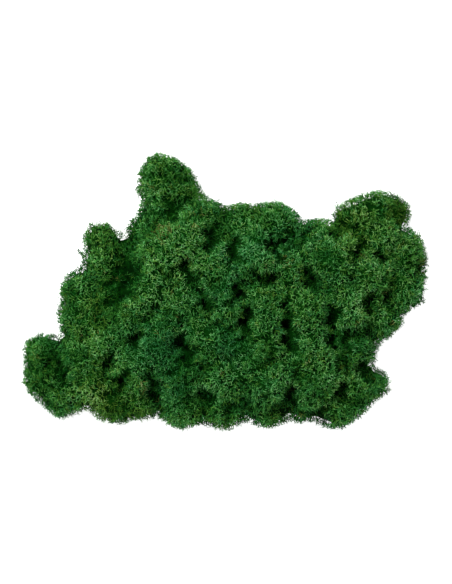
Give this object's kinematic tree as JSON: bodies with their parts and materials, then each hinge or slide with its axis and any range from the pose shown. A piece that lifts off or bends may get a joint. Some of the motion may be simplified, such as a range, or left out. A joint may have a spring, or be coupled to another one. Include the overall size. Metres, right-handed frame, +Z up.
{
  "type": "preserved lichen clump",
  "caption": "Loose, irregular clump of preserved green reindeer lichen: rounded heads of fine forked branchlets that interlock and lie on a flat surface.",
  "frame": {"origin": "middle of the clump's outline seen from above, on the surface that it lies on", "axes": "+X along the clump's longest side, towards the broad east heads; +Y towards the tower of heads; +Z up, along its height, the shortest side"},
  "size_m": [0.3022, 0.2068, 0.0603],
  "materials": {
    "lichen_deep": "matte",
    "lichen_leaf": "matte",
    "lichen_pale": "matte",
    "lichen_olive": "matte"
  },
  "bodies": {
    "root": {"tower_tip": "lichen_leaf", "tower_east": "lichen_deep", "tower_neck": "lichen_leaf", "tower_foot": "lichen_deep", "ridge_top": "lichen_leaf", "ridge_upper": "lichen_leaf", "ridge_lower": "lichen_leaf", "ridge_end": "lichen_leaf", "spike_tip": "lichen_leaf", "spike_root": "lichen_deep", "spike_side": "lichen_leaf", "shoulder_north": "lichen_deep", "shoulder_south": "lichen_pale", "shoulder_inner": "lichen_deep", "west_north": "lichen_deep", "west_tip": "lichen_deep", "west_inner": "lichen_deep", "west_foot": "lichen_olive", "west_south": "lichen_olive", "west_crown": "lichen_leaf", "south_one": "lichen_olive", "south_two": "lichen_pale", "south_three": "lichen_deep", "south_four": "lichen_deep", "south_five": "lichen_leaf", "south_six": "lichen_deep", "south_seven": "lichen_deep", "heel": "lichen_leaf", "heel_knob": "lichen_leaf", "east_north": "lichen_leaf", "east_tip": "lichen_leaf", "east_south": "lichen_leaf", "east_low": "lichen_leaf", "horn_west": "lichen_pale", "horn_top": "lichen_pale", "horn_tip": "lichen_olive", "horn_root": "lichen_leaf", "brow_west": "lichen_deep", "brow_middle": "lichen_leaf", "brow_east": "lichen_leaf", "brow_end": "lichen_deep", "crown_one": "lichen_leaf", "crown_two": "lichen_leaf", "crown_three": "lichen_leaf", "crown_four": "lichen_leaf", "crown_five": "lichen_leaf", "crown_six": "lichen_leaf", "crown_seven": "lichen_leaf", "crown_eight": "lichen_deep", "crown_nine": "lichen_leaf", "crown_ten": "lichen_pale", "crown_eleven": "lichen_deep", "crown_twelve": "lichen_deep", "crown_thirteen": "lichen_leaf", "crown_fourteen": "lichen_leaf", "crown_fifteen": "lichen_leaf", "crown_sixteen": "lichen_deep", "crown_seventeen": "lichen_pale", "crown_eighteen": "lichen_leaf", "crown_nineteen": "lichen_deep"}
  },
  "joints": []
}
